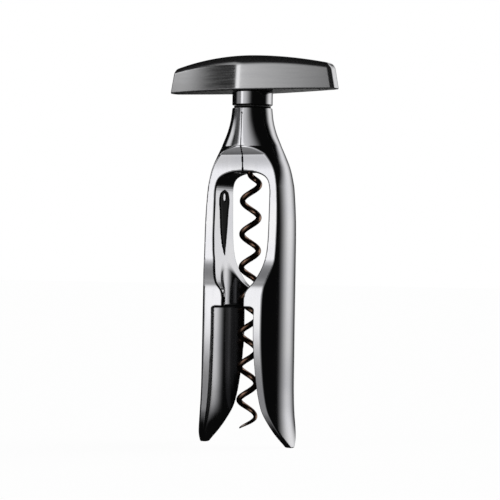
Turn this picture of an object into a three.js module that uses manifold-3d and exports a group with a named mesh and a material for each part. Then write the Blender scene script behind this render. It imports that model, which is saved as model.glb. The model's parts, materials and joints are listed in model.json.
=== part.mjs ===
// Self-pulling table corkscrew in millimetres, +Z up, standing on its two leg tips.
// X runs along the T handle, the front of the object faces -Y, and Z is the spindle axis.
// Two cast halves make a bottle-shaped frame.  They hang on a yoke inside the neck, so that the
// legs can be squeezed onto a bottle.  The handle, spindle and worm lift and turn in the neck.
import * as THREE from 'three';
import { mergeVertices } from 'three/addons/utils/BufferGeometryUtils.js';
import Module from 'manifold-3d';

const wasm = await Module();
wasm.setup();

// ---------------------------------------------------------------- driving dimensions
const GAP = 0.3;                     // clearance between neighbouring pieces
const NECK_TOP = 146.1;              // height of the frame's upper rim
const ARCH_TOP = 129.2;              // where the neck runs into the flat front faces
const CREASE = 125.6;                // fold line across the top of the front face
const WINDOW_TOP = 118.3;            // ceiling of the cork window
const LIP_SEAT = 60;                 // step that sits on the bottle's lip
const LEG_WALL = 3;                  // thickness of a leg below the step
const CORK_BORE = 12.2;              // radius of the passage for the cork through the waist
const CORK_BORE_TOP = 84;            // height where that passage has opened into the window
const WINDOW_WALL = 13.6;            // half width between the window's flat walls
const PIVOT_HEIGHT = 132;            // height of both leg pivots
const PIVOT_OFFSET = 8.2;            // distance of each pivot pin from the spindle axis
const SEAM_HALF_TOP = 0.2;           // half of the seam between the halves, at the pivots
const SEAM_HALF_LOW = 0.32;          // and at the ceiling of the window

// Outer radius of the frame across X, from rim to tip: [radius, height].
const SILHOUETTE = [
  [8.7, NECK_TOP], [9.5, 140.7], [11.2, 135.5], [13.75, 130.3], [16.1, 125], [17.9, 120], [18.9, 113.5],
  [19.8, 101.6], [20.1, 90], [20.1, 67], [20.15, 40], [20.3, 22], [21.1, 10], [23.3, 0],
];
const NECK_DEPTH = 8.7;              // front-to-back radius at the rim
const NECK_DEPTH_GROWTH = 0.035;     // its growth per millimetre down to the arch
const SHOULDER_SLOPE = 0.56;         // its growth per millimetre below the arch

// Half depth of the front and back faces: [half depth, height].
const FACE_ARCH = [[9.6, ARCH_TOP + 0.6], [8.5, 127.1], [7.8, CREASE]];
const FACE_RING = [
  [7.8, CREASE], [7.3, WINDOW_TOP], [7.6, 110.5], [8.3, 91], [8.75, 83], [9.5, 78.4], [12.4, 71],
  [13.4, 67.2], [13.8, 60], [13.8, 45], [13.1, 31], [11.8, 18.5], [10, 12.2], [6.3, 5.2], [1.6, 0],
];

// Half width of the cork window and waist gap: [half width, height].
const WINDOW_SIDE = [[5.15, 64], [6.1, 67.2], [9.6, 71.4], [12.2, 78.6], [13.5, 88], [WINDOW_WALL, 106]];
const WINDOW_CORNER = [
  [WINDOW_WALL, 106], [13.45, 111], [12.3, 114.6], [9.6, 116.7], [5, 118], [0, WINDOW_TOP],
];
const REACH = 60;                    // length of a cutter that passes right through the object

const GUIDE = { top: 110.3, shoulder: 104, tip: 82.5, half: 3.7, waist: 3.25, depth: 1.3, proud: 0.25 };
const EYE = { height: 107.4, halfWidth: 1, halfHeight: 1.8 };

const CAVITY = { neck: 7, lower: 6.15, rim: 7.6, shelf: 144.7, floor: 128.5 };
const BUSH = { bore: 5.2, outer: 5.75, flange: 7.3, bottom: 118.6, flangeBottom: 144.9, top: 146 };
const YOKE = { inner: 6, outer: 6.7, bottom: 128.8, top: 144.6, lugReach: 9.7, lugHalf: 1.8 };
const PIN = { radius: 0.8, hole: 1.05, half: 4.3 };
const LEAF = { top: 128.4, bottom: 120.3, inner: 6.5, bow: 1, thick: 0.5, half: 1.8 };

const WASHER = { bore: 5.2, outer: 8, bottom: 146.4, thick: 0.55 };
const COLLAR = { bottom: 147.2, top: 153, outer: 8.8, spigot: 7.05, spigotTop: 155, bore: 5.15 };
const SPINDLE = { radius: 4.85, bottom: 120.5, top: 163.2, socket: 1.55, socketTop: 128.5 };
const WORM = {
  wire: 1.25, coil: 3.6, pitch: 14.4, coilTop: 114.2, shankBottom: 120, shankTop: 128.1,
  tip: 7.2, tipPitch: 11.6, ground: 12.2, groundAngle: 31.5, taperTurns: 0.75, tipWire: 0.16,
};
const GRUB = { radius: 1, height: 124.5, inner: 1.9, outer: 4.6 };
const HANDLE = {
  half: 41.7, depth: 13, endDepth: 2, bow: 0.65, bottom: 153.3, top: 168.4, endDrop: 4.6, endDraft: 2.5,
  ridge: 1.5, wall: 2.2, roof: 2.7, cavityHalf: 31.5, shoulder: 3,
};
const PLATE = { thick: 1.6, rebate: 1.2, hole: 7.35 };
const SCREW = { x: 35, head: 1.4, shank: 0.85, length: 6.6 };
const CROSS = { radius: 1.3, height: 158.6, half: 9, boss: 8.3 };

// ---------------------------------------------------------------- materials
function finish(color, roughness, metalness) {
  return new THREE.MeshStandardMaterial({ color, roughness, metalness });
}
const blackNickel = finish(0x2b2b2e, 0.12, 1);
const handleGloss = finish(0x1b1b1d, 0.3, 0.6);
const blackPolymer = finish(0x141414, 0.45, 0);
const brightSteel = finish(0xb5b5b8, 0.25, 1);
const springSteel = finish(0x8d8f93, 0.3, 1);
const bronzeCoat = finish(0x4a3224, 0.3, 0.8);

// ---------------------------------------------------------------- solids
function toSolid(geometry) {
  const bare = geometry.clone();
  bare.deleteAttribute('normal');
  bare.deleteAttribute('uv');
  const merged = mergeVertices(bare, 1e-4);
  const position = merged.attributes.position;
  const source = merged.index.array;
  const triangles = [];
  let volume = 0;
  const corners = [new THREE.Vector3(), new THREE.Vector3(), new THREE.Vector3()];
  for (let i = 0; i < source.length; i += 3) {
    const [a, b, c] = [source[i], source[i + 1], source[i + 2]];
    if (a === b || b === c || c === a) {
      continue;
    }
    triangles.push(a, b, c);
    corners[0].fromBufferAttribute(position, a);
    corners[1].fromBufferAttribute(position, b);
    corners[2].fromBufferAttribute(position, c);
    volume += corners[0].dot(corners[1].cross(corners[2]));
  }
  if (volume < 0) triangles.reverse();
  return new wasm.Manifold(new wasm.Mesh({
    numProp: 3,
    vertProperties: new Float32Array(position.array),
    triVerts: new Uint32Array(triangles),
  }));
}

function toGeometry(solid) {
  const result = solid.getMesh();
  const geometry = new THREE.BufferGeometry();
  geometry.setAttribute('position', new THREE.BufferAttribute(result.vertProperties, 3));
  geometry.setIndex(new THREE.BufferAttribute(result.triVerts, 1));
  geometry.computeVertexNormals();
  return geometry;
}

const points = (pairs) => pairs.map(([x, y]) => new THREE.Vector2(x, y));
const smooth = (pairs, count) => new THREE.SplineCurve(points(pairs)).getPoints(count);

// A solid of revolution about Z from [radius, height] points that start and end on the axis.
function revolve(profile, segments) {
  return new THREE.LatheGeometry(profile, segments).rotateX(Math.PI / 2);
}

// A tube or stepped ring about Z from a closed [radius, height] outline.
function ring(outline, segments = 32) {
  const closed = points([...outline, outline[0]]);
  return toSolid(revolve(closed, segments));
}

function tube(inner, outer, bottom, top, segments = 32) {
  return ring([[inner, bottom], [outer, bottom], [outer, top], [inner, top]], segments);
}

function rod(radius, bottom, top, segments = 32) {
  const length = top - bottom;
  const geometry = new THREE.CylinderGeometry(radius, radius, length, segments);
  return toSolid(geometry.rotateX(Math.PI / 2).translate(0, 0, bottom + length / 2));
}

function rodAlongY(radius, half, x, height) {
  const geometry = new THREE.CylinderGeometry(radius, radius, 2 * half, 16);
  return toSolid(geometry.translate(x, 0, height));
}

function rodAlongX(radius, x0, x1, height) {
  const geometry = new THREE.CylinderGeometry(radius, radius, x1 - x0, 16).rotateZ(Math.PI / 2);
  return toSolid(geometry.translate((x0 + x1) / 2, 0, height));
}

function box(x0, x1, y0, y1, z0, z1) {
  const geometry = new THREE.BoxGeometry(x1 - x0, y1 - y0, z1 - z0);
  return toSolid(geometry.translate((x0 + x1) / 2, (y0 + y1) / 2, (z0 + z1) / 2));
}

// An outline extruded upwards from `bottom` to `top`; its points are [x, y].
function prismUp(outline, bottom, top) {
  const shape = new THREE.Shape(outline);
  const geometry = new THREE.ExtrudeGeometry(shape, { depth: top - bottom, bevelEnabled: false });
  return toSolid(geometry.translate(0, 0, bottom));
}

// An outline of [x, z] points extruded along Y, half of `depth` to each side.
function prismAcross(outline, depth) {
  const shape = new THREE.Shape(outline);
  const geometry = new THREE.ExtrudeGeometry(shape, { depth, bevelEnabled: false });
  return toSolid(geometry.translate(0, 0, -depth / 2).rotateX(Math.PI / 2));
}

// An outline of [y, z] points extruded along X from x0 to x1.
function prismAlong(outline, x0, x1) {
  const shape = new THREE.Shape(outline);
  const geometry = new THREE.ExtrudeGeometry(shape, { depth: x1 - x0, bevelEnabled: false });
  const turn = new THREE.Matrix4().makeBasis(
    new THREE.Vector3(0, 1, 0), new THREE.Vector3(0, 0, 1), new THREE.Vector3(1, 0, 0));
  return toSolid(geometry.translate(0, 0, x0).applyMatrix4(turn));
}

// Mirrors a half outline (right side, from bottom to top) into a closed one.
function mirrored(right) {
  const left = right.filter((p) => p.x > 1e-6).reverse().map((p) => new THREE.Vector2(-p.x, p.y));
  return [...right, ...left];
}

function mesh(name, solid, material) {
  const piece = new THREE.Mesh(toGeometry(solid), material);
  piece.name = name;
  return piece;
}

// ---------------------------------------------------------------- frame halves
function neckDepth(height) {
  if (height > ARCH_TOP) return NECK_DEPTH + NECK_DEPTH_GROWTH * (NECK_TOP - height);
  return NECK_DEPTH + NECK_DEPTH_GROWTH * (NECK_TOP - ARCH_TOP) + SHOULDER_SLOPE * (ARCH_TOP - height);
}

function bottleBody() {
  const profile = smooth(SILHOUETTE, 30);
  const arch = profile.findIndex((p) => p.y < ARCH_TOP);
  const before = profile[arch - 1];
  const after = profile[arch];
  const share = (before.y - ARCH_TOP) / (before.y - after.y);
  profile.splice(arch, 0, before.clone().lerp(after, share));
  const closed = [new THREE.Vector2(0, 0), ...profile.reverse(), new THREE.Vector2(0, NECK_TOP)];
  const geometry = revolve(closed, 64);
  const position = geometry.attributes.position;
  for (let i = 0; i < position.count; i += 1) {
    const radius = Math.hypot(position.getX(i), position.getY(i));
    if (radius < 1e-6) continue;
    position.setY(i, position.getY(i) * Math.min(1, neckDepth(position.getZ(i)) / radius));
  }
  return toSolid(geometry);
}

function faceBlank() {
  const side = [...smooth(FACE_ARCH, 4).slice(0, -1), ...smooth(FACE_RING, 34)].reverse();
  side.push(new THREE.Vector2(15, ARCH_TOP + 1.6), new THREE.Vector2(15, NECK_TOP + 1));
  return prismAlong(mirrored(side), -REACH / 2, REACH / 2);
}

function windowCut(inset) {
  const side = [...smooth(WINDOW_SIDE, 14), ...smooth(WINDOW_CORNER, 9).slice(1)];
  const right = [new THREE.Vector2(WINDOW_SIDE[0][0], LIP_SEAT - 10), ...side];
  const narrowed = right.map((p) => new THREE.Vector2(Math.max(0, p.x - inset), p.y));
  return prismAcross(mirrored(narrowed), REACH);
}

function lipRecess() {
  const below = smooth(SILHOUETTE, 30).filter((p) => p.y < LIP_SEAT - 4).reverse();
  const inner = below.map((p) => new THREE.Vector2(p.x - LEG_WALL, p.y));
  const profile = [
    new THREE.Vector2(0, -2), new THREE.Vector2(inner[0].x + 0.4, -2), ...inner.slice(1),
    new THREE.Vector2(17.1, LIP_SEAT - 1.2), new THREE.Vector2(16.7, LIP_SEAT - 0.35),
    new THREE.Vector2(16, LIP_SEAT), new THREE.Vector2(0, LIP_SEAT),
  ];
  return toSolid(revolve(profile, 48));
}

function neckCavity() {
  const lugPocket = box(
    -YOKE.lugReach - GAP - 0.05, YOKE.lugReach + GAP + 0.05, -YOKE.lugHalf - GAP, YOKE.lugHalf + GAP,
    PIVOT_HEIGHT - YOKE.lugHalf - GAP, PIVOT_HEIGHT + YOKE.lugHalf + GAP);
  const leafReach = LEAF.inner + LEAF.bow + LEAF.thick + 0.6;
  const leafPocket = box(
    -leafReach, leafReach, -LEAF.half - GAP, LEAF.half + GAP, LEAF.bottom - GAP, CAVITY.floor + 0.2);
  return rod(CAVITY.lower, WINDOW_TOP - 3, CAVITY.floor + 0.5)
    .add(rod(CAVITY.neck, CAVITY.floor, CAVITY.shelf + 0.5))
    .add(rod(CAVITY.rim, CAVITY.shelf, NECK_TOP + 1))
    .add(lugPocket)
    .add(leafPocket);
}

function pinHoles() {
  const hole = (side) => rodAlongY(PIN.hole, PIN.half + GAP, side * PIVOT_OFFSET, PIVOT_HEIGHT);
  return hole(-1).add(hole(1));
}

// Everything on one side of the seam, which opens a little from the pivots down.
function seamSide(side) {
  const edge = [
    [SEAM_HALF_TOP, NECK_TOP + 2], [SEAM_HALF_TOP, PIVOT_HEIGHT], [SEAM_HALF_LOW, WINDOW_TOP],
    [SEAM_HALF_LOW, -3], [40, -3], [40, NECK_TOP + 2],
  ];
  return prismAcross(points(edge.map(([x, z]) => [side * x, z])), REACH);
}

// Outline of the cork guide on the window wall as [y, z], pointed below and round above.
function guideOutline(grow) {
  const { top, shoulder, tip, half, waist } = GUIDE;
  const side = [[0.02, tip], [1.5, tip + 5], [2.6, tip + 11.5], [waist, shoulder - 2.5], [half, shoulder],
    [half, top - 3.4], [2.6, top - 1], [0, top]];
  const curve = smooth(side, 14);
  const grown = curve.map((p, i) => new THREE.Vector2(
    p.x < 0.1 ? 0 : p.x + grow, i === 0 ? p.y - 2 * grow : p.y + (p.x < 0.1 ? grow : 0)));
  return mirrored(grown);
}

function eyeOutline(grow) {
  const ellipse = new THREE.EllipseCurve(0, EYE.height, EYE.halfWidth + grow, EYE.halfHeight + grow);
  return ellipse.getPoints(14).slice(0, -1);
}

function guidePocket() {
  const floor = WINDOW_WALL + GUIDE.depth + GAP;
  const pocket = prismAlong(guideOutline(GAP), -floor, floor);
  const peg = prismAlong(eyeOutline(0), -floor - 1, floor + 1);
  return pocket.subtract(peg);
}

function frameBlank() {
  return bottleBody().intersect(faceBlank()).subtract(windowCut(0))
    .subtract(rod(CORK_BORE, LIP_SEAT - 1, CORK_BORE_TOP, 48)).subtract(lipRecess())
    .subtract(neckCavity()).subtract(pinHoles()).subtract(guidePocket());
}

function corkGuide(side) {
  const outer = WINDOW_WALL + GUIDE.depth;
  const blank = prismAlong(guideOutline(0), Math.min(0, side * outer), Math.max(0, side * outer));
  const eye = prismAlong(eyeOutline(GAP), -REACH / 2, REACH / 2);
  return blank.subtract(eye).subtract(windowCut(GUIDE.proud));
}

// ---------------------------------------------------------------- neck internals
function pivotYoke() {
  const lug = (side) => {
    const [near, far] = [side * (YOKE.inner + 0.4), side * YOKE.lugReach];
    return box(
      Math.min(near, far), Math.max(near, far), -YOKE.lugHalf, YOKE.lugHalf,
      PIVOT_HEIGHT - YOKE.lugHalf, PIVOT_HEIGHT + YOKE.lugHalf);
  };
  return tube(YOKE.inner, YOKE.outer, YOKE.bottom, YOKE.top).add(lug(-1)).add(lug(1))
    .subtract(rod(YOKE.inner, YOKE.bottom, YOKE.top)).subtract(pinHoles());
}

function neckBush() {
  return ring([
    [BUSH.bore, BUSH.bottom], [BUSH.outer, BUSH.bottom], [BUSH.outer, BUSH.flangeBottom],
    [BUSH.flange, BUSH.flangeBottom], [BUSH.flange, BUSH.top], [BUSH.bore, BUSH.top],
  ]);
}

function pivotPin(side) {
  return rodAlongY(PIN.radius, PIN.half, side * PIVOT_OFFSET, PIVOT_HEIGHT);
}

function leafSpring(side) {
  const middle = (LEAF.top + LEAF.bottom) / 2;
  const bow = new THREE.QuadraticBezierCurve(
    new THREE.Vector2(LEAF.inner, LEAF.bottom), new THREE.Vector2(LEAF.inner + 2 * LEAF.bow, middle),
    new THREE.Vector2(LEAF.inner, LEAF.top)).getPoints(8);
  const back = [...bow].reverse().map((p) => new THREE.Vector2(p.x + LEAF.thick, p.y));
  const outline = [...bow, ...back].map((p) => new THREE.Vector2(side * p.x, p.y));
  return prismAcross(outline, 2 * LEAF.half);
}

// ---------------------------------------------------------------- spindle and worm
function wormPath() {
  const steps = Math.round(((WORM.shankBottom - WORM.tip) / WORM.pitch) * 16);
  const path = [];
  for (let i = 0; i <= steps; i += 1) {
    const height = WORM.tip + (i / steps) * (WORM.shankBottom - WORM.tip);
    const ramp = THREE.MathUtils.smoothstep(height, WORM.coilTop, WORM.shankBottom);
    const above = height - WORM.ground;
    const turns = above / (above < 0 ? WORM.tipPitch : WORM.pitch);
    const angle = THREE.MathUtils.degToRad(WORM.groundAngle) + 2 * Math.PI * turns;
    const radius = WORM.coil * (1 - ramp);
    path.push(new THREE.Vector3(radius * Math.cos(angle), radius * Math.sin(angle), height));
  }
  path.push(new THREE.Vector3(0, 0, (WORM.shankBottom + WORM.shankTop) / 2));
  path.push(new THREE.Vector3(0, 0, WORM.shankTop));
  return path;
}

// Wire thickness along the worm: full size, ground down to a point over the last part of a turn.
function wireShare(height) {
  const taper = WORM.taperTurns * WORM.pitch;
  const share = THREE.MathUtils.clamp((height - WORM.tip) / taper, 0, 1);
  const tip = WORM.tipWire / WORM.wire;
  return tip + (1 - tip) * Math.sqrt(share);
}

function worm() {
  const path = wormPath();
  const curve = new THREE.CatmullRomCurve3(path);
  const circle = new THREE.EllipseCurve(0, 0, WORM.wire, WORM.wire).getPoints(8).slice(0, -1);
  const section = new THREE.Shape(circle);
  const steps = path.length - 1;
  const geometry = new THREE.ExtrudeGeometry(section, { steps, bevelEnabled: false, extrudePath: curve });
  const centres = curve.getSpacedPoints(steps);
  const position = geometry.attributes.position;
  const vertex = new THREE.Vector3();
  for (let i = 0; i < position.count; i += 1) {
    vertex.fromBufferAttribute(position, i);
    const centre = centres.reduce((best, c) => (c.distanceTo(vertex) < best.distanceTo(vertex) ? c : best));
    vertex.sub(centre).multiplyScalar(wireShare(centre.z)).add(centre);
    position.setXYZ(i, vertex.x, vertex.y, vertex.z);
  }
  return toSolid(geometry);
}

function spindle() {
  return rod(SPINDLE.radius, SPINDLE.bottom, SPINDLE.top)
    .subtract(rod(SPINDLE.socket, SPINDLE.bottom - 1, SPINDLE.socketTop, 16))
    .subtract(rodAlongX(GRUB.radius + GAP, 0.5, SPINDLE.radius + 1, GRUB.height))
    .subtract(rodAlongY(CROSS.radius + GAP, SPINDLE.radius + 1, 0, CROSS.height));
}

// ---------------------------------------------------------------- handle
// Plan of the handle: a long diamond with bowed sides, narrow ridges front and back, and blunt ends.
function handlePlan(inset, half = HANDLE.half) {
  const taper = HANDLE.depth - HANDLE.endDepth;
  const widthAt = (x) => {
    const share = x / HANDLE.half;
    return HANDLE.depth - inset - taper * (HANDLE.bow * share + (1 - HANDLE.bow) * share * share);
  };
  const end = Math.min(half, HANDLE.half - inset);
  const side = [];
  for (let i = 0; i <= 8; i += 1) {
    const x = end + (HANDLE.ridge - end) * (i / 8);
    side.push(new THREE.Vector2(x, Math.max(0.3, widthAt(x))));
  }
  const crest = new THREE.Vector2(0, widthAt(0.4 * HANDLE.ridge));
  const back = [...side, crest, ...[...side].reverse().map((p) => new THREE.Vector2(-p.x, p.y))];
  return [...back, ...[...back].reverse().map((p) => new THREE.Vector2(p.x, -p.y))];
}

// Front view of the handle: flat below, crowned above, its ends leaning in.
function handleElevation(roof) {
  const crown = [];
  for (let i = 0; i <= 10; i += 1) {
    const t = 1 - i / 5;
    const x = t * (HANDLE.half - HANDLE.endDraft);
    crown.push(new THREE.Vector2(x, HANDLE.top - roof - HANDLE.endDrop * t * t));
  }
  const base = [-HANDLE.half, HANDLE.half].map((x) => new THREE.Vector2(x, HANDLE.bottom));
  return [...base, ...crown];
}

// End view of the handle: upright faces with rounded shoulders.
function handleEndView() {
  const { depth, bottom, top, shoulder } = HANDLE;
  const arc = new THREE.EllipseCurve(depth - shoulder, top - shoulder, shoulder, shoulder, 0, Math.PI / 2);
  const right = [new THREE.Vector2(depth + 0.5, bottom), new THREE.Vector2(depth + 0.2, top - 2 * shoulder),
    ...arc.getPoints(4)];
  return mirrored(right);
}

function handleShell() {
  const body = prismUp(handlePlan(0), HANDLE.bottom, HANDLE.top)
    .intersect(prismAcross(handleElevation(0), REACH)).intersect(prismAlong(handleEndView(), -REACH, REACH));
  const hollow = prismUp(handlePlan(HANDLE.wall, HANDLE.cavityHalf), HANDLE.bottom - 1, HANDLE.top)
    .intersect(prismAcross(handleElevation(HANDLE.roof), REACH).translate([0, 0, -0.5]))
    .subtract(rod(CROSS.boss, HANDLE.bottom - 2, HANDLE.top));
  const rebate = prismUp(handlePlan(PLATE.rebate), HANDLE.bottom - 1, HANDLE.bottom + PLATE.thick + GAP);
  const holeTop = HANDLE.bottom + SCREW.length + GAP;
  const screwHole = (side) => rod(SCREW.shank + GAP, HANDLE.bottom - 1, holeTop, 12)
    .translate([side * SCREW.x, 0, 0]);
  return body.subtract(hollow).subtract(rebate)
    .subtract(rod(COLLAR.bore, HANDLE.bottom - 1, SPINDLE.top + GAP))
    .subtract(rodAlongY(CROSS.radius + GAP, CROSS.half + GAP, 0, CROSS.height))
    .subtract(screwHole(-1)).subtract(screwHole(1));
}

function basePlate() {
  const { bottom } = HANDLE;
  const screwHole = (side) => rod(SCREW.shank + GAP, bottom - 1, bottom + PLATE.thick + 1, 16)
    .add(rod(SCREW.head + GAP, bottom - 1, bottom + 1, 20)).translate([side * SCREW.x, 0, 0]);
  return prismUp(handlePlan(PLATE.rebate + GAP), bottom, bottom + PLATE.thick)
    .subtract(rod(PLATE.hole, bottom - 1, bottom + PLATE.thick + 1))
    .subtract(screwHole(-1)).subtract(screwHole(1));
}

function plateScrew(side) {
  const { bottom } = HANDLE;
  const slot = box(-2, 2, -0.2, 0.2, bottom - 0.5, bottom + 0.4);
  const shank = rod(SCREW.shank, bottom + 0.5, bottom + SCREW.length, 12);
  return rod(SCREW.head, bottom + 0.1, bottom + 0.7, 20).add(shank).subtract(slot)
    .translate([side * SCREW.x, 0, 0]);
}

function handleCollar() {
  return ring([
    [COLLAR.bore, COLLAR.bottom], [COLLAR.outer - 0.4, COLLAR.bottom], [COLLAR.outer, COLLAR.bottom + 0.5],
    [COLLAR.outer, COLLAR.top], [COLLAR.spigot, COLLAR.top], [COLLAR.spigot, COLLAR.spigotTop],
    [COLLAR.bore, COLLAR.spigotTop],
  ]);
}

// ---------------------------------------------------------------- assembly
const group = new THREE.Group();
const frame = frameBlank();

const neck = new THREE.Group();
neck.add(mesh('pivot_yoke', pivotYoke(), springSteel));
neck.add(mesh('neck_bush', neckBush(), blackPolymer));
group.add(neck);

for (const [label, side] of [['left', -1], ['right', 1]]) {
  const leg = new THREE.Group();
  leg.add(mesh(`${label}_frame_half`, frame.intersect(seamSide(side)), blackNickel));
  leg.add(mesh(`${label}_cork_guide`, corkGuide(side), blackPolymer));
  group.add(leg);
  neck.add(mesh(`${label}_pivot_pin`, pivotPin(side), springSteel));
  neck.add(mesh(`${label}_leaf_spring`, leafSpring(side), springSteel));
}

group.add(mesh('thrust_washer', tube(WASHER.bore, WASHER.outer, WASHER.bottom, WASHER.bottom + WASHER.thick),
  blackPolymer));

const handle = new THREE.Group();
handle.add(mesh('handle_collar', handleCollar(), blackNickel));
handle.add(mesh('handle_shell', handleShell(), handleGloss));
handle.add(mesh('handle_base_plate', basePlate(), blackPolymer));
handle.add(mesh('left_plate_screw', plateScrew(-1), brightSteel));
handle.add(mesh('right_plate_screw', plateScrew(1), brightSteel));
handle.add(mesh('spindle', spindle(), springSteel));
handle.add(mesh('handle_cross_pin', rodAlongY(CROSS.radius, CROSS.half, 0, CROSS.height), springSteel));
handle.add(mesh('worm', worm(), bronzeCoat));
handle.add(mesh('worm_grub_screw', rodAlongX(GRUB.radius, GRUB.inner, GRUB.outer, GRUB.height), brightSteel));
group.add(handle);

export default group;
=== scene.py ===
"""Looks of the self-pulling corkscrew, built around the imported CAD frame.

The design is written in millimetres, +Z up, front facing -Y, like the CAD part, and it is scaled to
metres when a mesh is made.  Castings and mouldings are rounded solids: a function gives the distance
to the surface, and a surface net turns it into an even mesh of quads that lies on that surface.
"""

import json
import math

import bmesh
import bpy
import numpy as np
from mathutils import Matrix, Vector

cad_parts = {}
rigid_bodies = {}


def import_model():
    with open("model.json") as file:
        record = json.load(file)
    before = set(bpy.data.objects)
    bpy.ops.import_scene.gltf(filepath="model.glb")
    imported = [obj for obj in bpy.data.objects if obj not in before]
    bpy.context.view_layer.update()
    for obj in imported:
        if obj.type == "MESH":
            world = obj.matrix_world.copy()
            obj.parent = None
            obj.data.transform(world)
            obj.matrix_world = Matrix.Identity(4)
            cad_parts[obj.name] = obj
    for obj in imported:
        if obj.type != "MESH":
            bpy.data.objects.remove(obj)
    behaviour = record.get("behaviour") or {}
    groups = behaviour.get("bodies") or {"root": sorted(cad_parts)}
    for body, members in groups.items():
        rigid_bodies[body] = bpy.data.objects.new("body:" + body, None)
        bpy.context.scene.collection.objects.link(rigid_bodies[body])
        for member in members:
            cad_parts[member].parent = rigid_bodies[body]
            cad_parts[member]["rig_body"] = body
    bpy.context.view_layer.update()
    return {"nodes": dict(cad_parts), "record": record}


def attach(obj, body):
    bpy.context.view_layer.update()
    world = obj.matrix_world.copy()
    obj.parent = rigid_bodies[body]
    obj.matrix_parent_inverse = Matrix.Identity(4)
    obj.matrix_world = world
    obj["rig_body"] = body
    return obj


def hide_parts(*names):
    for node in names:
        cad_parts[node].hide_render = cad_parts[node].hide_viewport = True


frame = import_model()

MM = 0.001

# ------------------------------------------------------------------ dimensions, in millimetres
NECK_TOP = 146.1
ARCH_TOP = 129.2
CREASE = 125.6
WINDOW_TOP = 118.3
LIP_SEAT = 60.0
LEG_WALL = 3.0
CORK_BORE = 12.2
BORE_BOTTOM = LIP_SEAT - 1   # the cork's bore starts below the lip seat
BORE_TOP = 90.0
RECESS_TOP = 56.0            # above this the lip recess no longer follows the silhouette
RECESS_EDGE = 1.2
PIVOT_HEIGHT = 132.0
PIVOT_OFFSET = 8.2
SEAM_HALF_TOP = 0.03         # half of the seam that shows, at the pivots
SEAM_HALF_LOW = 0.27         # and at the window, where squeezing the legs closes it
SEAM_EDGE = 0.04

# Outer radius of the frame: (radius, height) from rim to tip.
SILHOUETTE = [
    (8.7, NECK_TOP), (9.5, 140.7), (11.2, 135.5), (13.75, 130.3), (16.1, 125), (17.9, 120), (18.9, 113.5),
    (19.8, 101.6), (20.1, 90), (20.1, 67), (20.15, 40), (20.3, 22), (21.1, 10), (23.3, 0),
]
NECK_DEPTH = 8.7             # front-to-back radius at the rim
NECK_DEPTH_GROWTH = 0.035    # its growth per millimetre down to the arch
SHOULDER_SLOPE = 0.56        # its growth per millimetre below the arch
NECK_BLEND = 1.5             # rounding where the depth meets the outer radius

# The hollow of the neck: (radius, bottom, top) of its stepped bore, and the pockets off it.
NECK_BORE = [(6.15, WINDOW_TOP - 3, 129), (7, 128.5, 145.2), (7.6, 144.7, NECK_TOP + 1)]
POCKET_HALF_WIDTH = 2.1
LUG_REACH = 10.05
LEAF_REACH = 8.6
LEAF_BOTTOM = 120.0
LEAF_TOP = 128.7
PIN_HOLE = 1.05
PIN_HOLE_HALF = 4.6

# Half depth of the front and back faces: (half depth, height).
FACE_ARCH = [(9.6, ARCH_TOP + 0.6), (8.5, 127.1), (7.8, CREASE)]
FACE_RING = [
    (7.8, CREASE), (7.3, WINDOW_TOP), (7.6, 110.5), (8.3, 91), (8.75, 83), (9.5, 78.4), (12.4, 71),
    (13.4, 67.2), (13.8, 60), (13.8, 45), (13.1, 31), (11.8, 18.5), (10, 12.2), (6.3, 5.2), (1.6, 0),
]

# Half width of the cork window and the waist gap: (half width, height).
WINDOW_SIDE = [(5.15, 64), (6.1, 67.2), (9.6, 71.4), (12.2, 78.6), (13.5, 88), (13.6, 106)]
WINDOW_CORNER = [(13.6, 106), (13.45, 111), (12.3, 114.6), (9.6, 116.7), (5, 118), (0, WINDOW_TOP)]
WINDOW_WALL = 13.6

GUIDE_EDGE = [
    (0.02, 82.5), (1.5, 87.5), (2.6, 94), (3.25, 101.5), (3.7, 104), (3.7, 106.9), (2.6, 109.3), (0, 110.3),
]
GUIDE_DEPTH = 1.3
GUIDE_PROUD = 0.25           # how far it stands out of the window's wall
GUIDE_GAP = 0.3
GUIDE_CROWN = 0.12           # how much it swells away from its edge, per millimetre
GUIDE_CROWN_REACH = 1.6
GUIDE_EDGE_DROP = 0.15
GUIDE_ROUNDING = 0.35
GUIDE_STEP = 0.22
EYE_HEIGHT = 107.4
EYE_HALF = (1.0, 1.8)

EDGE = 0.55                  # rounding of the castings' outer edges
WINDOW_EDGE = 0.8            # rounding of the window's edges
RIM_EDGE = 0.4
TIP_EDGE = 0.5
FINE_EDGE = 0.15             # rounding of pockets and rebates
HOLE_EDGE = 0.2
FRAME_STEP = 0.36            # size of a cell in the frame's surface net

HANDLE_HALF = 41.7
HANDLE_DEPTH = 13.0
HANDLE_END_DEPTH = 2.0
HANDLE_BOW = 0.65            # share of the taper that is straight, the rest is curved
HANDLE_RIDGE = 2.5           # rounding of the ridge down the middle of each face
HANDLE_BOTTOM = 153.3
HANDLE_TOP = 168.4
HANDLE_END_DROP = 4.6
HANDLE_SIDE_DRAFT = 0.06
HANDLE_END_DRAFT = 0.2
HANDLE_LEAN = 1.02           # length of the slope of the ends and the top against their rise
HANDLE_CORNER = 1.5
SHOULDER_END = 2.3           # rounding of the top edge at the ends
SHOULDER_GROWTH = 2.7        # what the middle has on top of that
HANDLE_WALL = 2.4
HANDLE_CAVITY_HALF = 31.5
HANDLE_BOSS = 8.3
HANDLE_STEP = 0.45
HOLE_BOTTOM = 150.0          # every hole in the handle starts below its underside
PLATE_THICK = 1.6
PLATE_REBATE = 1.2
PLATE_GAP = 0.3
PLATE_BORE = 7.35
PLATE_STEP = 0.35
COLLAR_HOLE = 5.15
COLLAR_HOLE_TOP = 163.5
CROSS_HOLE = 1.6
CROSS_HOLE_HALF = 9.3
CROSS_HOLE_HEIGHT = 158.6

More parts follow.
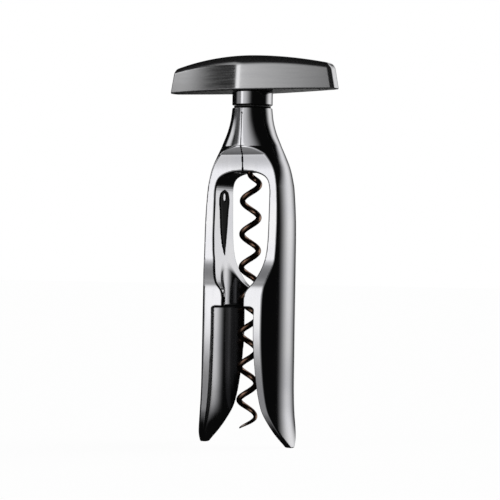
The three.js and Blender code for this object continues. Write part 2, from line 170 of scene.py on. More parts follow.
SCREW_X = 35.0
SCREW_HOLE = 1.15
SCREW_HOLE_TOP = 160.2
SCREW_SINK = 1.7             # radius of the recess for the head
SCREW_HEAD = 1.4
SCREW_SHANK = 0.85
SCREW_REACH = 6.6
SCREW_STEP = 0.12

SPINDLE_RADIUS = 4.85
SPINDLE_BOTTOM = 120.5
SPINDLE_TOP = 163.2
SPINDLE_EDGE = 0.5
SPINDLE_STEP = 0.4
SHANK_HOLE = 1.55            # in the spindle's foot, for the worm's straight end
SHANK_HOLE_TOP = 128.5
GRUB_HOLE = 1.3
GRUB_HEIGHT = 124.5
BUSH_BORE = 5.2

WORM_WIRE = 1.25
WORM_COIL = 3.6
WORM_PITCH = 14.4
WORM_TIP = 7.2
WORM_TIP_PITCH = 11.6
WORM_GROUND = 12.2
WORM_GROUND_ANGLE = 31.5
WORM_COIL_TOP = 114.2
WORM_SHANK_BOTTOM = 120.0
WORM_SHANK_TOP = 128.1
WORM_TAPER_TURNS = 0.75
WORM_TIP_WIRE = 0.16
WORM_BARE = 4.0              # length over which the coating wears off towards the tip


# ------------------------------------------------------------------ curves and distances
def spline(points, count):
    """Points evenly spread in parameter along a Catmull-Rom curve through `points`."""
    p = np.array(points, float)
    last = len(p) - 1
    t = np.linspace(0, last, count + 1)
    i = np.minimum(t.astype(int), last - 1)
    w = (t - i)[:, None]
    before, here = p[np.maximum(i - 1, 0)], p[i]
    there, after = p[i + 1], p[np.minimum(i + 2, last)]
    v0, v1 = (there - before) / 2, (after - here) / 2
    cubic = 2 * here - 2 * there + v0 + v1
    square = 3 * there - 3 * here - 2 * v0 - v1
    return cubic * w**3 + square * w**2 + v0 * w + here


class Profile:
    """A value that depends on height, with its slope."""

    def __init__(self, *curves):
        dense = np.vstack([spline(c, 60 * len(c)) for c in curves])
        dense = dense[np.argsort(dense[:, 1], kind="stable")]
        self.height = np.linspace(dense[0, 1], dense[-1, 1], 3000)
        self.value = np.interp(self.height, dense[:, 1], dense[:, 0])
        self.rise = np.gradient(self.value, self.height)

    def at(self, z):
        return np.interp(z, self.height, self.value)

    def slope(self, z):
        return np.interp(z, self.height, self.rise)


def rounded_max(a, b, r):
    """Where two solids meet, with the edge between them rounded to radius r."""
    return np.minimum(np.maximum(a, b), -r) + np.hypot(np.maximum(a + r, 0), np.maximum(b + r, 0))


def cut(solid, hole, r):
    return rounded_max(solid, -hole, r)


def polygon_distance(u, v, outline):
    """Signed distance from (u, v) to a closed outline, negative inside."""
    best = np.full(np.broadcast(u, v).shape, 1e9)
    inside = np.zeros(best.shape, bool)
    points = np.array(outline, float)
    for (au, av), (bu, bv) in zip(points, np.roll(points, -1, axis=0)):
        du, dv = bu - au, bv - av
        share = np.clip(((u - au) * du + (v - av) * dv) / (du * du + dv * dv + 1e-12), 0, 1)
        best = np.minimum(best, (u - au - share * du) ** 2 + (v - av - share * dv) ** 2)
        crosses = (av > v) != (bv > v)
        inside ^= crosses & (u < au + (v - av) * du / (dv if dv else 1e-12))
    return np.where(inside, -1, 1) * np.sqrt(best)


def block_distance(x, y, z, lo, hi):
    """Signed distance to an upright block, negative inside."""
    gaps = [np.maximum(low - c, c - high) for c, low, high in zip((x, y, z), lo, hi)]
    return np.maximum(np.maximum(gaps[0], gaps[1]), gaps[2])


def rod_distance(x, y, z, radius, bottom, top):
    """Signed distance to an upright rod on the axis, negative inside."""
    return np.maximum(np.hypot(x, y) - radius, np.maximum(bottom - z, z - top))


# ------------------------------------------------------------------ surface net
def gradient(field, p, h=0.02):
    slopes = []
    for axis in range(3):
        ahead, behind = p.copy(), p.copy()
        ahead[:, axis] += h
        behind[:, axis] -= h
        slopes.append((field(*ahead.T) - field(*behind.T)) / (2 * h))
    return np.stack(slopes, axis=1)


def settle(field, p, step):
    """Moves points onto the surface where the field is zero."""
    slope = gradient(field, p)
    length = np.maximum((slope**2).sum(1), 0.05)
    move = -(field(*p.T) / length)[:, None] * slope
    reach = np.maximum(np.linalg.norm(move, axis=1) / (0.7 * step), 1)
    return p + move / reach[:, None]


def surface_net(field, lo, hi, step, rounds=3):
    """Vertices and quads on the surface of the solid where field(x, y, z) is negative."""
    axes = [np.arange(a - step, b + 2 * step, step) for a, b in zip(lo, hi)]
    values = field(axes[0][:, None, None], axes[1][None, :, None], axes[2][None, None, :])
    inside = values < 0
    spans = [n - 1 for n in values.shape]
    corners = [(i, j, k) for i in (0, 1) for j in (0, 1) for k in (0, 1)]
    count = np.zeros(spans, np.int8)
    for i, j, k in corners:
        count += inside[i:spans[0] + i, j:spans[1] + j, k:spans[2] + k]
    active = (count > 0) & (count < 8)
    number = np.full(spans, -1)
    number[active] = np.arange(active.sum())
    cells = np.argwhere(active)
    total = np.zeros((len(cells), 3))
    hits = np.zeros(len(cells))
    for a in corners:
        for axis in range(3):
            if a[axis]:
                continue
            b = tuple(c + (n == axis) for n, c in enumerate(a))
            value_a = values[tuple((cells + a).T)]
            value_b = values[tuple((cells + b).T)]
            crosses = (value_a < 0) != (value_b < 0)
            share = np.where(crosses, value_a / np.where(crosses, value_a - value_b, 1), 0)
            point = np.array(a, float) + share[:, None] * (np.array(b) - np.array(a))
            total += crosses[:, None] * point
            hits += crosses
    vertices = np.array([a[0] for a in axes]) + step * (cells + total / hits[:, None])

    quads = []
    for axis in range(3):
        u, v = (axis + 1) % 3, (axis + 2) % 3
        lower = np.moveaxis(inside, (axis, u, v), (0, 1, 2))[:, 1:-1, 1:-1]
        cell = np.moveaxis(number, (axis, u, v), (0, 1, 2))
        edges = np.argwhere(lower[:-1] != lower[1:])
        outward = lower[:-1][tuple(edges.T)]
        i, j, k = edges.T
        ring = np.stack([cell[i, j, k], cell[i, j + 1, k], cell[i, j + 1, k + 1], cell[i, j, k + 1]], axis=1)
        ring[~outward] = ring[~outward][:, ::-1]
        quads.append(ring)
    quads = np.vstack(quads)

    for _ in range(rounds):
        vertices = settle(field, vertices, step)
        middle = np.zeros_like(vertices)
        weight = np.zeros(len(vertices))
        for a, b in ((0, 1), (1, 2), (2, 3), (3, 0)):
            for p, q in ((a, b), (b, a)):
                np.add.at(middle, quads[:, p], vertices[quads[:, q]])
                np.add.at(weight, quads[:, p], 1)
        vertices = (vertices + middle / weight[:, None]) / 2
    for _ in range(3):
        vertices = settle(field, vertices, step)
    return vertices, quads


# ------------------------------------------------------------------ pieces
def add_piece(name, vertices, faces, node, slot, normals=None):
    """Makes a smooth mesh from points in millimetres, and lets it stand for a CAD node."""
    mesh = bpy.data.meshes.new(name)
    mesh.from_pydata([tuple(v) for v in np.asarray(vertices) * MM], [], [tuple(map(int, f)) for f in faces])
    mesh.validate()
    mesh.update()
    mesh.shade_smooth()
    if normals is not None:
        mesh.normals_split_custom_set_from_vertices([tuple(n) for n in normals])
    piece = bpy.data.objects.new(name, mesh)
    bpy.context.scene.collection.objects.link(piece)
    piece.data.materials.append(MATERIALS[slot])
    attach(piece, frame["nodes"][node]["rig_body"])
    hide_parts(node)
    return piece


def unit_normals(field, vertices, h=0.02):
    normals = gradient(field, vertices, h)
    return normals / np.maximum(np.linalg.norm(normals, axis=1), 1e-9)[:, None]


def solid_piece(name, field, lo, hi, step, node, slot):
    vertices, quads = surface_net(field, lo, hi, step)
    normals = unit_normals(field, vertices)
    add_piece(name, vertices, quads, node, slot, normals)
    return vertices, quads, normals


def add_mirror(name, right, node, slot):
    """The left twin of a piece, from the right one's vertices, quads and normals."""
    vertices, quads, normals = right
    flip = np.array([-1, 1, 1])
    add_piece(name, vertices * flip, quads[:, ::-1], node, slot, normals * flip)


def rounded_outline(corners, arc=4):
    """A closed (radius, height) outline from (radius, height, rounding) corners."""
    outline = []
    count = len(corners)
    for i, (r, z, rounding) in enumerate(corners):
        here = np.array([r, z], float)
        if rounding <= 0:
            outline.append(here)
            continue
        to_last = np.array(corners[i - 1][:2], float) - here
        to_next = np.array(corners[(i + 1) % count][:2], float) - here
        start = here + to_last / np.linalg.norm(to_last) * rounding
        end = here + to_next / np.linalg.norm(to_next) * rounding
        for t in np.linspace(0, 1, arc + 1):
            outline.append((1 - t) ** 2 * start + 2 * t * (1 - t) * here + t * t * end)
    return outline


def lathe_piece(name, corners, node, slot, segments=96):
    """A turned ring from the corners of its section, anticlockwise."""
    outline = rounded_outline(corners)
    count = len(outline)
    vertices, faces = [], []
    for s in range(segments):
        angle = 2 * math.pi * s / segments
        vertices += [(r * math.cos(angle), r * math.sin(angle), z) for r, z in outline]
        following = (s + 1) % segments
        for i in range(count):
            j = (i + 1) % count
            faces.append((s * count + i, following * count + i, following * count + j, s * count + j))
    sharpen(add_piece(name, vertices, faces, node, slot))


def sharpen(piece, angle=30):
    """Keeps flats flat beside narrow rounded edges."""
    modifier = piece.modifiers.new("weighted normals", "WEIGHTED_NORMAL")
    modifier.keep_sharp = True
    modifier.weight = 80
    piece.data.set_sharp_from_angle(angle=math.radians(angle))


# ------------------------------------------------------------------ materials
class Paint:
    """Builds one material's node tree."""

    def __init__(self, name, color, roughness, metallic=0.0, coat=0.0):
        self.material = bpy.data.materials.new(name)
        self.material.use_nodes = True
        self.tree = self.material.node_tree
        self.shader = self.tree.nodes["Principled BSDF"]
        self.shader.inputs["Base Color"].default_value = (*color, 1)
        self.shader.inputs["Roughness"].default_value = roughness
        self.shader.inputs["Metallic"].default_value = metallic
        self.shader.inputs["Coat Weight"].default_value = coat
        self.coordinates = self.tree.nodes.new("ShaderNodeTexCoord").outputs["Object"]

    def node(self, kind, **inputs):
        made = self.tree.nodes.new(kind)
        for key, value in inputs.items():
            made.inputs[key.replace("_", " ")].default_value = value
        return made

    def link(self, output, target):
        self.tree.links.new(output, target)

    def stretched(self, x=1.0, y=1.0, z=1.0):
        mapping = self.tree.nodes.new("ShaderNodeMapping")
        mapping.inputs["Scale"].default_value = (x, y, z)
        self.link(self.coordinates, mapping.inputs["Vector"])
        return mapping.outputs["Vector"]

    def noise(self, scale, detail=3.0, coordinates=None):
        texture = self.node("ShaderNodeTexNoise", Scale=scale, Detail=detail)
        self.link(coordinates or self.coordinates, texture.inputs["Vector"])
        return texture.outputs["Fac"]

    def remap(self, value, low, high, start=0.35, end=0.65):
        span = self.node("ShaderNodeMapRange")
        for key, number in (("From Min", start), ("From Max", end), ("To Min", low), ("To Max", high)):
            span.inputs[key].default_value = number
        self.link(value, span.inputs["Value"])
        return span.outputs["Result"]

    def mix(self, factor, first, second):
        """Blends from first to second.  Each is a colour or the output of another node."""
        blend = self.tree.nodes.new("ShaderNodeMix")
        blend.data_type = "RGBA"
        for socket, value in zip([s for s in blend.inputs if s.type == "RGBA"], (first, second)):
            if isinstance(value, tuple):
                socket.default_value = (*value, 1)
            else:
                self.link(value, socket)
        self.link(factor, blend.inputs["Factor"])
        return [s for s in blend.outputs if s.type == "RGBA"][0]

    def color(self, output):
        self.link(output, self.shader.inputs["Base Color"])

    def roughness(self, output):
        self.link(output, self.shader.inputs["Roughness"])

    def bump(self, height, strength, distance):
        bump = self.node("ShaderNodeBump", Strength=strength, Distance=distance)
        self.link(height, bump.inputs["Height"])
        previous = self.shader.inputs["Normal"].links
        if previous:
            self.link(previous[0].from_socket, bump.inputs["Normal"])
        self.link(bump.outputs["Normal"], self.shader.inputs["Normal"])


def black_nickel():
    paint = Paint("black_nickel", (0.42, 0.42, 0.44), 0.1, metallic=1)
    cloud = paint.noise(60, 4)
    paint.color(paint.mix(paint.remap(cloud, 0, 1), (0.41, 0.41, 0.43), (0.44, 0.438, 0.445)))
    hairlines = paint.noise(900, 2, paint.stretched(1, 1, 0.06))
    paint.roughness(paint.remap(hairlines, 0.07, 0.13))
    paint.bump(paint.noise(150, 2), 0.03, 0.0002)
    return paint.material


def handle_lacquer():
    paint = Paint("handle_lacquer", (0.4, 0.4, 0.41), 0.16, metallic=0.95)
    brush = paint.noise(1100, 3, paint.stretched(0.04, 0.3, 1))
    paint.color(paint.mix(paint.remap(brush, 0, 1), (0.4, 0.4, 0.407), (0.43, 0.43, 0.435)))
    paint.roughness(paint.remap(brush, 0.13, 0.18))
    paint.bump(brush, 0.05, 0.00003)
    return paint.material


def guide_plastic():
    paint = Paint("guide_plastic", (0.004, 0.004, 0.004), 0.3)
    paint.shader.inputs["Specular IOR Level"].default_value = 0.02
    grain = paint.noise(700, 3)
    paint.color(paint.mix(paint.remap(grain, 0, 1), (0.003, 0.003, 0.003), (0.006, 0.006, 0.006)))
    paint.roughness(paint.remap(grain, 0.22, 0.36))
    paint.bump(grain, 0.05, 0.00005)
    return paint.material


def bush_plastic():
    paint = Paint("bush_plastic", (0.014, 0.014, 0.014), 0.5)
    paint.color(paint.mix(paint.remap(paint.noise(400, 3), 0, 1), (0.012, 0.012, 0.012), (0.02, 0.02, 0.021)))
    paint.roughness(paint.remap(paint.noise(1200, 3), 0.42, 0.58))
    paint.bump(paint.noise(2500, 2), 0.15, 0.00005)
    return paint.material


def turned_steel(name, tint):
    paint = Paint(name, tint, 0.25, metallic=1)
    rings = paint.noise(2600, 2, paint.stretched(0.03, 0.03, 1))
    darker = tuple(0.86 * c for c in tint)
    paint.color(paint.mix(paint.remap(rings, 0, 1), darker, tint))
    paint.roughness(paint.remap(rings, 0.18, 0.32))
    paint.bump(rings, 0.12, 0.00004)
    return paint.material


def worm_coating():
    paint = Paint("worm_coating", (0.2, 0.12, 0.085), 0.26, metallic=1)
    cloud = paint.mix(paint.remap(paint.noise(220, 4), 0, 1), (0.16, 0.092, 0.062), (0.26, 0.165, 0.12))
    height = paint.tree.nodes.new("ShaderNodeSeparateXYZ")
    paint.link(paint.coordinates, height.inputs[0])
    bare = paint.remap(height.outputs["Z"], 1, 0, WORM_TIP * MM, (WORM_TIP + WORM_BARE) * MM)
    paint.color(paint.mix(bare, cloud, (0.36, 0.31, 0.27)))
    paint.roughness(paint.remap(paint.noise(900, 3), 0.2, 0.32))
    paint.bump(paint.noise(1500, 3), 0.05, 0.00004)
    return paint.material


MATERIALS = {
    "black_nickel": black_nickel(),
    "handle_lacquer": handle_lacquer(),
    "guide_plastic": guide_plastic(),
    "bush_plastic": bush_plastic(),
    "spring_steel": turned_steel("spring_steel", (0.52, 0.52, 0.54)),
    "screw_steel": turned_steel("screw_steel", (0.62, 0.62, 0.63)),
    "worm_coating": worm_coating(),
}
SLOT_OF = {s["node"]: s["material_slot"] for s in frame["record"]["subparts"]}
for node_name, node_object in frame["nodes"].items():
    node_object.data.materials.clear()
    node_object.data.materials.append(MATERIALS[SLOT_OF[node_name]])

# ------------------------------------------------------------------ frame halves
SILHOUETTE_AT = Profile(SILHOUETTE)
FACE_AT = Profile(FACE_ARCH, FACE_RING)


def neck_depth(z):
    above = NECK_DEPTH + NECK_DEPTH_GROWTH * (NECK_TOP - z)
    below = NECK_DEPTH + NECK_DEPTH_GROWTH * (NECK_TOP - ARCH_TOP) + SHOULDER_SLOPE * (ARCH_TOP - z)
    return np.where(z > ARCH_TOP, above, below)


def bottle_distance(x, y, z):
    radius = SILHOUETTE_AT.at(z)
    depth = -rounded_max(-radius, -neck_depth(z), NECK_BLEND)
    share = np.maximum(np.hypot(x / radius, y / depth), 1e-6)
    steepness = np.hypot(x / radius**2, y / depth**2) / share
    lean = np.hypot(1, SILHOUETTE_AT.slope(z))
    return (share - 1) / steepness / lean


def face_distance(y, z):
    below = (np.abs(y) - FACE_AT.at(z)) / np.hypot(1, FACE_AT.slope(z))
    return np.where(z > FACE_ARCH[0][1], np.minimum(below, FACE_ARCH[0][1] - z), below)


def window_outline(inset):
    side = np.vstack([spline(WINDOW_SIDE, 30), spline(WINDOW_CORNER, 24)[1:]])
    side[:, 0] = side[:, 0] - inset
    return [(-20, LIP_SEAT - 10), (WINDOW_SIDE[0][0] - inset, LIP_SEAT - 10), *side, (-20, WINDOW_TOP)]


def mirrored(side):
    return [*side, *[(-u, v) for u, v in reversed(side) if u > 1e-6]]


def guide_outline(grow):
    side = []
    for n, (u, v) in enumerate(spline(GUIDE_EDGE, 28)):
        on_axis = u < 0.1
        lift = -2 * grow if n == 0 else grow * on_axis
        side.append((0 if on_axis else u + grow, v + lift))
    return mirrored(side)


def eye_distance(y, z, grow):
    a, b = EYE_HALF[0] + grow, EYE_HALF[1] + grow
    return (np.hypot(y / a, (z - EYE_HEIGHT) / b) - 1) * a


WINDOW = window_outline(0)
POCKET = guide_outline(GUIDE_GAP)
GUIDE = guide_outline(0)


def cavity_distance(x, y, z):
    """The hollow of the neck with its pockets for the yoke's lugs, the pins and the leaf springs."""
    half = POCKET_HALF_WIDTH
    lug = block_distance(x, y, z, (-1, -half, PIVOT_HEIGHT - half), (LUG_REACH, half, PIVOT_HEIGHT + half))
    leaf = block_distance(x, y, z, (-1, -half, LEAF_BOTTOM), (LEAF_REACH, half, LEAF_TOP))
    pin = np.maximum(np.hypot(x - PIVOT_OFFSET, z - PIVOT_HEIGHT) - PIN_HOLE, np.abs(y) - PIN_HOLE_HALF)
    cavity = np.minimum(np.minimum(lug, leaf), pin)
    for radius, bottom, top in NECK_BORE:
        cavity = np.minimum(cavity, rod_distance(x, y, z, radius, bottom, top))
    return cavity


def half_distance(x, y, z):
    """The right frame half."""
    solid = rounded_max(bottle_distance(x, y, z), face_distance(y, z), EDGE)
    solid = rounded_max(solid, z - NECK_TOP, RIM_EDGE)
    solid = rounded_max(solid, -z, TIP_EDGE)
    solid = cut(solid, polygon_distance(x, z, WINDOW), WINDOW_EDGE)
    solid = cut(solid, rod_distance(x, y, z, CORK_BORE, BORE_BOTTOM, BORE_TOP), EDGE)
    inner_wall = SILHOUETTE_AT.at(np.minimum(z, RECESS_TOP)) - LEG_WALL
    recess = rounded_max(np.hypot(x, y) - inner_wall, z - LIP_SEAT, RECESS_EDGE)
    solid = cut(solid, recess, EDGE)
    floor = WINDOW_WALL + GUIDE_DEPTH + GUIDE_GAP
    pocket = np.maximum(np.maximum(polygon_distance(y, z, POCKET), x - floor), -eye_distance(y, z, 0))
    solid = cut(solid, pocket, FINE_EDGE)
    solid = np.maximum(solid, -cavity_distance(x, y, z))
    share = np.clip((z - WINDOW_TOP) / (PIVOT_HEIGHT - WINDOW_TOP), 0, 1)
    seam = SEAM_HALF_LOW + (SEAM_HALF_TOP - SEAM_HALF_LOW) * share
    return rounded_max(solid, seam - x, SEAM_EDGE)


def make_frame_halves():
    right = solid_piece(
        "frame_half_right", half_distance, (0, -14.2, 0), (23.6, 14.2, NECK_TOP), FRAME_STEP,
        "right_frame_half", "black_nickel")
    add_mirror("frame_half_left", right, "left_frame_half", "black_nickel")


# ------------------------------------------------------------------ cork guides
def guide_distance(x, y, z):
    outline = polygon_distance(y, z, GUIDE)
    window = polygon_distance(x, z, window_outline(GUIDE_PROUD))
    crown = window - GUIDE_CROWN * np.clip(-outline, 0, GUIDE_CROWN_REACH) + GUIDE_EDGE_DROP
    body = rounded_max(outline, -crown, GUIDE_ROUNDING)
    body = np.maximum(body, x - WINDOW_WALL - GUIDE_DEPTH)
    return cut(body, eye_distance(y, z, GUIDE_GAP), FINE_EDGE)


def make_cork_guides():
    right = solid_piece(
        "cork_guide_right", guide_distance, (12, -4, 82), (15, 4, 110.5), GUIDE_STEP,
        "right_cork_guide", "guide_plastic")
    add_mirror("cork_guide_left", right, "left_cork_guide", "guide_plastic")


# ------------------------------------------------------------------ handle
def handle_body(x, y, z, inset=0.0):
    """Outer form of the handle, moved in by `inset`."""
    rise = z - HANDLE_BOTTOM
    taper = HANDLE_DEPTH - HANDLE_END_DEPTH
    share = (np.hypot(x, HANDLE_RIDGE) - HANDLE_RIDGE) / HANDLE_HALF
    width = HANDLE_DEPTH - taper * (HANDLE_BOW * share + (1 - HANDLE_BOW) * share * share)
    lean = np.hypot(1, taper / HANDLE_HALF * (HANDLE_BOW + 2 * (1 - HANDLE_BOW) * share))
    side = (np.abs(y) - width + HANDLE_SIDE_DRAFT * rise) / lean + inset
    end = (np.abs(x) - HANDLE_HALF + HANDLE_END_DRAFT * rise) / HANDLE_LEAN + inset
    crown = HANDLE_TOP - HANDLE_END_DROP * (x / HANDLE_HALF) ** 2
    top = (z - crown) / HANDLE_LEAN + inset
    shoulder = SHOULDER_END + SHOULDER_GROWTH * np.clip(1 - np.abs(x) / HANDLE_HALF, 0, 1)
    plan = rounded_max(side, end, HANDLE_CORNER)
    return rounded_max(plan, top, shoulder)


def plate_plan(x, y, inset):
    return handle_body(x, y, np.full_like(x + y, HANDLE_BOTTOM), inset)


def cross_hole_distance(x, z):
    return np.hypot(x, z - CROSS_HOLE_HEIGHT) - CROSS_HOLE


def shell_distance(x, y, z):
    solid = rounded_max(handle_body(x, y, z), HANDLE_BOTTOM - z, TIP_EDGE)
    hollow = np.maximum(handle_body(x, y, z, HANDLE_WALL), np.abs(x) - HANDLE_CAVITY_HALF)
    hollow = np.maximum(hollow, HANDLE_BOSS - np.hypot(x, y))
    solid = np.maximum(solid, -hollow)
    rebate = np.maximum(plate_plan(x, y, PLATE_REBATE), z - HANDLE_BOTTOM - PLATE_THICK - PLATE_GAP)
    solid = cut(solid, rebate, FINE_EDGE)
    solid = cut(solid, rod_distance(x, y, z, COLLAR_HOLE, HOLE_BOTTOM, COLLAR_HOLE_TOP), HOLE_EDGE)
    solid = np.maximum(solid, -np.maximum(cross_hole_distance(x, z), np.abs(y) - CROSS_HOLE_HALF))
    screw_hole = rod_distance(np.abs(x) - SCREW_X, y, z, SCREW_HOLE, HOLE_BOTTOM, SCREW_HOLE_TOP)
    return np.maximum(solid, -screw_hole)


def plate_distance(x, y, z):
    low = HANDLE_BOTTOM
    faces = np.maximum(low - z, z - low - PLATE_THICK)
    plate = rounded_max(plate_plan(x, y, PLATE_REBATE + PLATE_GAP), faces, HOLE_EDGE)
    plate = cut(plate, rod_distance(x, y, z, PLATE_BORE, HOLE_BOTTOM, SCREW_HOLE_TOP), HOLE_EDGE)
    screw_hole = np.minimum(
        rod_distance(np.abs(x) - SCREW_X, y, z, SCREW_HOLE, HOLE_BOTTOM, SCREW_HOLE_TOP),
        rod_distance(np.abs(x) - SCREW_X, y, z, SCREW_SINK, HOLE_BOTTOM, low + 1))
    return np.maximum(plate, -screw_hole)


def screw_distance(x, y, z):
    low = HANDLE_BOTTOM
    head = rounded_max(np.hypot(x, y) - SCREW_HEAD, np.maximum(low + 0.1 - z, z - low - 0.7), 0.25)
    slot = block_distance(x, y, z, (-2, -0.2, low - 1), (2, 0.2, low + 0.4))
    head = np.maximum(head, -slot)
    return np.minimum(head, rod_distance(x, y, z, SCREW_SHANK, low + 0.5, low + SCREW_REACH))


def make_handle():
    low = HANDLE_BOTTOM
    solid_piece(
        "handle_shell_body", shell_distance, (-42, -13.2, low), (42, 13.2, HANDLE_TOP), HANDLE_STEP,
        "handle_shell", "handle_lacquer")
    solid_piece(
        "handle_plate", plate_distance, (-41, -12.2, low), (41, 12.2, low + PLATE_THICK), PLATE_STEP,
        "handle_base_plate", SLOT_OF["handle_base_plate"])
    vertices, quads = surface_net(screw_distance, (-1.5, -1.5, low), (1.5, 1.5, low + 6.7), SCREW_STEP)
    normals = unit_normals(screw_distance, vertices, 0.01)
    for side, place in (("left", -SCREW_X), ("right", SCREW_X)):
        add_piece(
            side + "_plate_screw_turned", vertices + np.array([place, 0, 0]), quads,
            side + "_plate_screw", "screw_steel", normals)


def make_turned_parts():
    lathe_piece("handle_collar_turned", [
        (COLLAR_HOLE, 147.2, 0.1), (8.8, 147.2, 0.5), (8.8, 153, 0.15), (7.05, 153, 0.1), (7.05, 155, 0.2),
        (COLLAR_HOLE, 155, 0.2),
    ], "handle_collar", "black_nickel")
    lathe_piece("thrust_washer_turned", [
        (BUSH_BORE, 146.4, 0.1), (8, 146.4, 0.15), (8, 146.95, 0.15), (BUSH_BORE, 146.95, 0.1),
    ], "thrust_washer", "bush_plastic")
    lathe_piece("neck_bush_turned", [
        (BUSH_BORE, 118.6, 0.15), (5.75, 118.6, 0.15), (5.75, 144.9, 0), (7.3, 144.9, 0.1), (7.3, 146, 0.25),
        (BUSH_BORE, 146, 0.25),
    ], "neck_bush", "bush_plastic")
    solid_piece(
        "spindle_turned", spindle_distance, (-4.9, -4.9, SPINDLE_BOTTOM), (4.9, 4.9, SPINDLE_TOP),
        SPINDLE_STEP, "spindle", SLOT_OF["spindle"])


def spindle_distance(x, y, z):
    ends = np.maximum(SPINDLE_BOTTOM - z, z - SPINDLE_TOP)
    solid = rounded_max(np.hypot(x, y) - SPINDLE_RADIUS, ends, SPINDLE_EDGE)
    solid = cut(solid, rod_distance(x, y, z, SHANK_HOLE, SPINDLE_BOTTOM - 1.5, SHANK_HOLE_TOP), HOLE_EDGE)
    grub_hole = np.maximum(np.hypot(y, z - GRUB_HEIGHT) - GRUB_HOLE, 0.5 - x)
    return cut(cut(solid, grub_hole, HOLE_EDGE), cross_hole_distance(x, z), HOLE_EDGE)


# ------------------------------------------------------------------ worm
def worm_path(count):
    z = np.linspace(WORM_TIP, WORM_SHANK_TOP, count)
    above = z - WORM_GROUND
    turns = above / np.where(above < 0, WORM_TIP_PITCH, WORM_PITCH)
    angle = np.radians(WORM_GROUND_ANGLE) + 2 * np.pi * turns
    ramp = np.clip((z - WORM_COIL_TOP) / (WORM_SHANK_BOTTOM - WORM_COIL_TOP), 0, 1)
    radius = WORM_COIL * (1 - ramp * ramp * (3 - 2 * ramp))
    share = np.clip(np.abs(z - WORM_TIP) / (WORM_TAPER_TURNS * WORM_PITCH), 0, 1)
    wire = WORM_TIP_WIRE + (WORM_WIRE - WORM_TIP_WIRE) * np.sqrt(share)
    return np.stack([radius * np.cos(angle), radius * np.sin(angle), z], axis=1), wire


def make_worm(rings=620, sides=20):
    path, wire = worm_path(rings)
    along = np.gradient(path, axis=0)
    along /= np.linalg.norm(along, axis=1)[:, None]
    across = np.cross(along, (0, 0, 1.0))
    for i in range(rings):
        if np.linalg.norm(across[i]) < 0.05:
            across[i] = across[i - 1]
        across[i] -= along[i] * np.dot(across[i], along[i])
        across[i] /= np.linalg.norm(across[i])
        if i and np.dot(across[i], across[i - 1]) < 0:
            across[i] = -across[i]
    upward = np.cross(across, along)
    angles = 2 * np.pi * np.arange(sides) / sides
    spokes = np.cos(angles)[:, None] * across[:, None] + np.sin(angles)[:, None] * upward[:, None]
    vertices = list((path[:, None] + wire[:, None, None] * spokes).reshape(-1, 3))
    faces = []
    for i in range(rings - 1):
        for s in range(sides):
            t = (s + 1) % sides
            faces.append((i * sides + s, (i + 1) * sides + s, (i + 1) * sides + t, i * sides + t))
    vertices += [path[0] - 0.1 * along[0], path[-1]]
    for s in range(sides):
        t = (s + 1) % sides
        faces.append((s, t, rings * sides))
        faces.append(((rings - 1) * sides + t, (rings - 1) * sides + s, rings * sides + 1))
    add_piece("worm_helix", vertices, faces, "worm", "worm_coating")


# ------------------------------------------------------------------ camera, floor and light
VIEW_AZIMUTH = 31.5          # degrees to the right of the front
VIEW_DISTANCE = 845.0
EYE_LEVEL = 84.5
CAMERA_ROLL = 1.0            # degrees
SECOND_BOUNCE = 2.5          # ray depth that only second reflections pass
SECOND_BOUNCE_LOSS = 0.9     # share of the room's light that they lose


def make_camera():
    azimuth = math.radians(VIEW_AZIMUTH)
    data = bpy.data.cameras.new("camera")
    data.lens = 140
    data.sensor_width = 36
    camera = bpy.data.objects.new("camera", data)
    away = Vector((math.sin(azimuth), -math.cos(azimuth), 0))
    camera.location = (away * VIEW_DISTANCE + Vector((0, 0, EYE_LEVEL))) * MM
    facing = (-away).to_track_quat("-Z", "Y").to_matrix().to_4x4()
    roll = Matrix.Rotation(math.radians(CAMERA_ROLL), 4, "Z")
    camera.matrix_world = Matrix.Translation(camera.location) @ facing @ roll
    bpy.context.scene.collection.objects.link(camera)
    bpy.context.scene.camera = camera


def make_floor():
    bm = bmesh.new()
    bmesh.ops.create_circle(bm, cap_ends=True, radius=4.0, segments=96)
    mesh = bpy.data.meshes.new("floor")
    bm.to_mesh(mesh)
    bm.free()
    floor = bpy.data.objects.new("floor", mesh)
    bpy.context.scene.collection.objects.link(floor)
    paint = Paint("floor_paper", (0.14, 0.14, 0.14), 0.9)
    paint.shader.inputs["Specular IOR Level"].default_value = 0.0
    paint.shader.inputs["Emission Color"].default_value = (1, 1, 1, 1)
    paint.shader.inputs["Emission Strength"].default_value = 0.96
    mesh.materials.append(paint.material)
    floor.visible_glossy = False


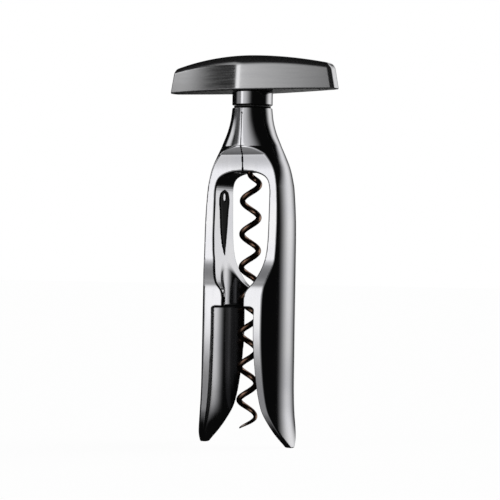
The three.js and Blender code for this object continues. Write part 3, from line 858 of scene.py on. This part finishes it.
class Studio:
    """World light: soft panels placed by the angle round the object and the height above the horizon."""

    def __init__(self, background, ambient):
        self.world = bpy.data.worlds.new("studio")
        bpy.context.scene.world = self.world
        self.world.use_nodes = True
        self.tree = self.world.node_tree
        self.tree.nodes.clear()
        self.direction = self.tree.nodes.new("ShaderNodeTexCoord").outputs["Generated"]
        split = self.tree.nodes.new("ShaderNodeSeparateXYZ")
        self.tree.links.new(self.direction, split.inputs[0])
        self.elevation = self.math("ARCSINE", split.outputs["Z"])
        self.total = None
        self.background = background
        self.ambient = ambient

    def math(self, operation, *values):
        node = self.tree.nodes.new("ShaderNodeMath")
        node.operation = operation
        for socket, value in zip(node.inputs, values):
            if isinstance(value, (int, float)):
                socket.default_value = value
            else:
                self.tree.links.new(value, socket)
        return node.outputs[0]

    def dot(self, vector):
        node = self.tree.nodes.new("ShaderNodeVectorMath")
        node.operation = "DOT_PRODUCT"
        self.tree.links.new(self.direction, node.inputs[0])
        node.inputs[1].default_value = vector
        return node.outputs["Value"]

    def ramp(self, value, start, end):
        node = self.tree.nodes.new("ShaderNodeMapRange")
        node.interpolation_type = "SMOOTHSTEP"
        node.inputs["From Min"].default_value = math.radians(start)
        node.inputs["From Max"].default_value = math.radians(end)
        self.tree.links.new(value, node.inputs["Value"])
        return node.outputs["Result"]

    def panel(self, strength, azimuth, sides, heights):
        """A panel round `azimuth` (0 faces the camera, positive to its right), in degrees.

        sides and heights are (start, full, full, end): the light rises from start to full and falls to end.
        """
        heading = math.radians(VIEW_AZIMUTH + azimuth)
        ahead = (math.sin(heading), -math.cos(heading), 0)
        right = (math.cos(heading), math.sin(heading), 0)
        turn = self.math("ARCTAN2", self.dot(right), self.dot(ahead))
        parts = []
        for value, (a, b, c, d) in ((turn, sides), (self.elevation, heights)):
            parts.append(self.ramp(value, a, b))
            parts.append(self.math("SUBTRACT", 1.0, self.ramp(value, c, d)))
        product = self.math("MULTIPLY", self.math("MULTIPLY", *parts[:2]), self.math("MULTIPLY", *parts[2:]))
        light = self.math("MULTIPLY", product, float(strength))
        self.total = light if self.total is None else self.math("ADD", self.total, light)

    def finish(self):
        path = self.tree.nodes.new("ShaderNodeLightPath")
        again = self.math("GREATER_THAN", path.outputs["Ray Depth"], SECOND_BOUNCE)
        fade = self.math("SUBTRACT", 1.0, self.math("MULTIPLY", again, SECOND_BOUNCE_LOSS))
        lit = self.math("ADD", self.math("MULTIPLY", self.total, fade), float(self.ambient))
        room = self.tree.nodes.new("ShaderNodeBackground")
        room.inputs["Color"].default_value = (1, 1, 1, 1)
        self.tree.links.new(lit, room.inputs["Strength"])
        paper = self.tree.nodes.new("ShaderNodeBackground")
        paper.inputs["Color"].default_value = (1, 1, 1, 1)
        paper.inputs["Strength"].default_value = self.background
        mix = self.tree.nodes.new("ShaderNodeMixShader")
        self.tree.links.new(path.outputs["Is Camera Ray"], mix.inputs[0])
        self.tree.links.new(room.outputs[0], mix.inputs[1])
        self.tree.links.new(paper.outputs[0], mix.inputs[2])
        output = self.tree.nodes.new("ShaderNodeOutputWorld")
        self.tree.links.new(mix.outputs[0], output.inputs["Surface"])


def make_light():
    studio = Studio(background=1.0, ambient=0.006)
    studio.panel(0.85, -63, (-10, -4, 4, 10), (-12, 0, 9, 42))
    studio.panel(1.2, -60, (-16, -6, 4, 58), (-12, 0, 9, 42))
    studio.panel(0.5, -60, (-25, -10, 0, 50), (-65, -25, -12, -2))
    studio.panel(0.5, -84, (-26, -6, 6, 16), (-14, -1, 4, 9))
    studio.panel(0.6, -80, (-22, -4, 6, 16), (17, 22, 33, 44))
    studio.panel(1.45, -103, (-20, -12, 2, 14), (7, 10, 13, 17))
    studio.panel(1.55, 118, (-42, -3, 0, 40), (-14, 2, 45, 70))
    studio.panel(0.9, 170, (-12, -4, 6, 14), (-15, -5, 25, 40))
    studio.finish()


make_camera()
make_frame_halves()
make_cork_guides()
make_handle()
make_turned_parts()
make_worm()
make_floor()
make_light()
bpy.context.scene.view_settings.view_transform = "Standard"
